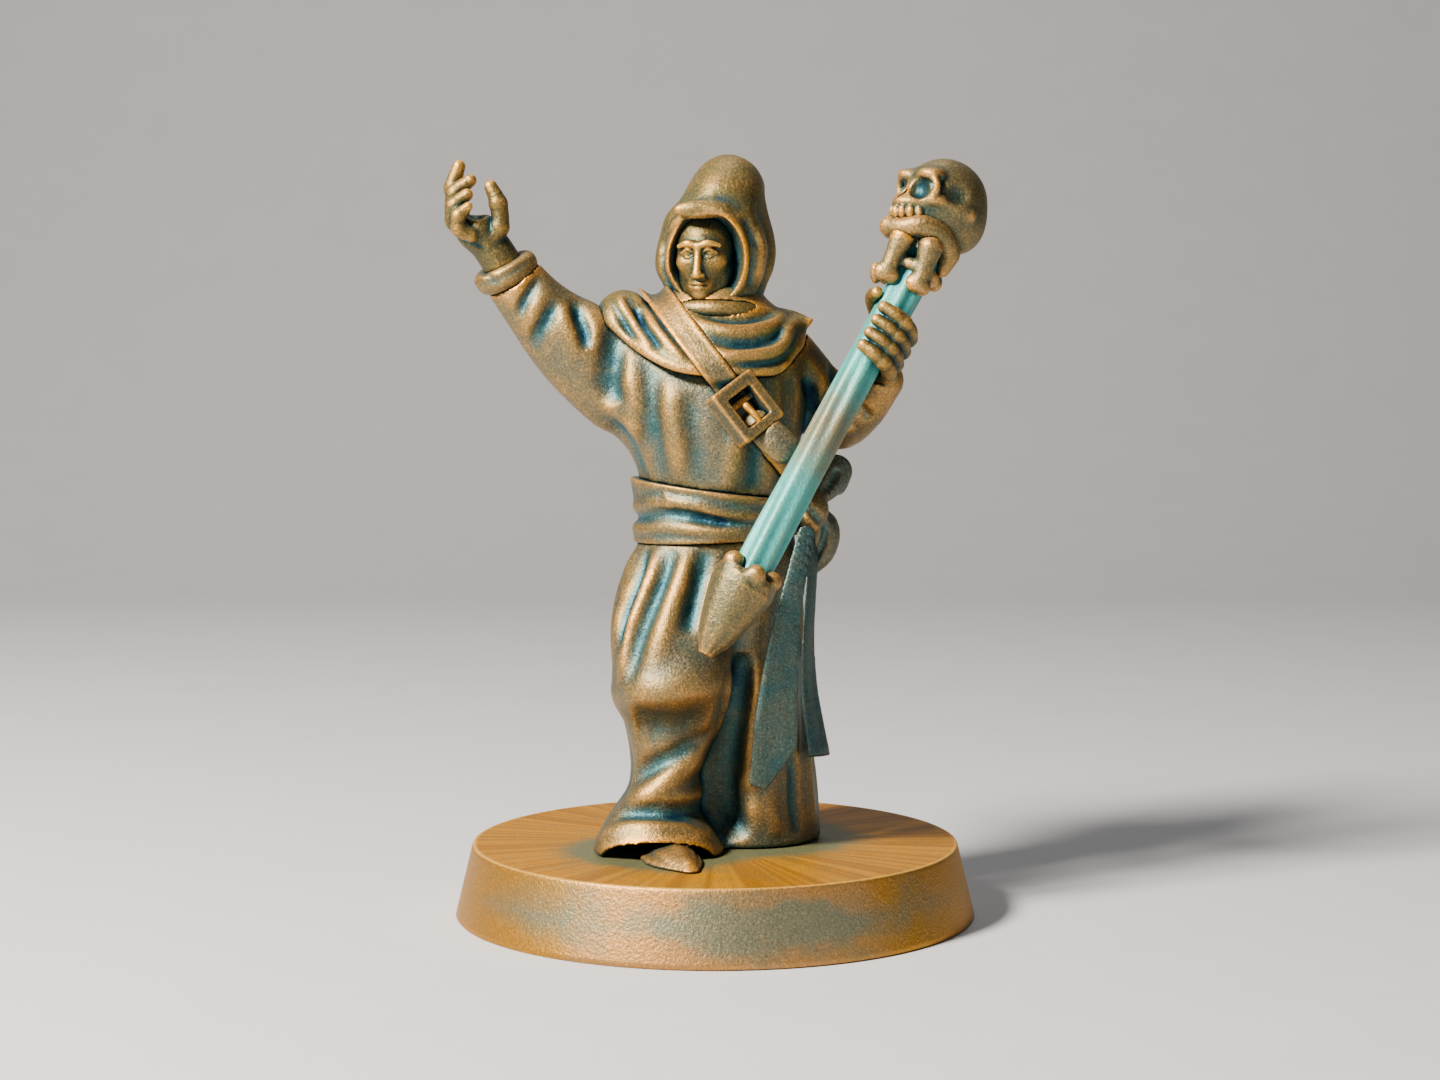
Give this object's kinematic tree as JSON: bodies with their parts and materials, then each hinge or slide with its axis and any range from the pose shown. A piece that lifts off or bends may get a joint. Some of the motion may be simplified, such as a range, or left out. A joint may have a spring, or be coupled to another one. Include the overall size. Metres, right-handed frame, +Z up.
{
  "type": "painted miniature figure",
  "caption": "Robed tabletop miniature on a round base: hooded figure with a raised open hand, holding a skull-headed staff, in verdigris bronze paint.",
  "frame": {"origin": "centre of the round base's flat underside", "axes": "+Z up through the figure, the figure faces -Y, its raised right hand is on the -X side"},
  "size_m": [0.0256, 0.025, 0.0364],
  "materials": {
    "base_paint": "cast resin, golden ochre metallic paint with a green wash round the rim",
    "robe_paint": "cast resin, bronze metallic paint, green-blue verdigris wash in the folds, copper dry-brushed edges",
    "cowl_paint": "cast resin, bronze metallic paint, verdigris wash in the folds",
    "sash_paint": "cast resin, bronze metallic paint with orange-gold edges",
    "skin_paint": "cast resin, warm bronze-gold metallic paint",
    "shoe_paint": "cast resin, bronze metallic paint",
    "strap_paint": "cast resin, copper-brown metallic paint",
    "buckle_paint": "cast resin, gold metallic paint",
    "shaft_paint": "cast resin, turquoise verdigris paint with a worn bronze middle",
    "bone_paint": "cast resin, olive-bronze metallic paint with gold edges",
    "pin_brass": "plain drawn brass rod"
  },
  "bodies": {
    "root": {"base_disc": "base_paint", "right_shoe": "shoe_paint", "lower_robe": "robe_paint", "upper_robe": "robe_paint", "right_sleeve": "robe_paint", "left_sleeve": "robe_paint", "cowl": "cowl_paint", "hood": "cowl_paint", "neck_roll": "cowl_paint", "right_cuff": "robe_paint", "waist_sash": "sash_paint", "sash_knot": "sash_paint", "sash_bow_ear": "sash_paint", "sash_bow_loop": "sash_paint", "sash_tail_front": "sash_paint", "sash_tail_rear": "sash_paint", "right_hand": "skin_paint", "left_hand": "skin_paint", "head": "skin_paint", "shoulder_strap": "strap_paint", "strap_tip": "strap_paint", "buckle_frame": "buckle_paint", "buckle_tongue": "buckle_paint", "staff_shaft": "shaft_paint", "staff_pommel": "bone_paint", "staff_socket": "bone_paint", "staff_jaw": "bone_paint", "staff_skull": "bone_paint", "front_foot_pin": "pin_brass", "rear_foot_pin": "pin_brass", "waist_pin": "pin_brass", "neck_pin": "pin_brass", "right_shoulder_pin": "pin_brass", "left_shoulder_pin": "pin_brass"}
  },
  "joints": []
}
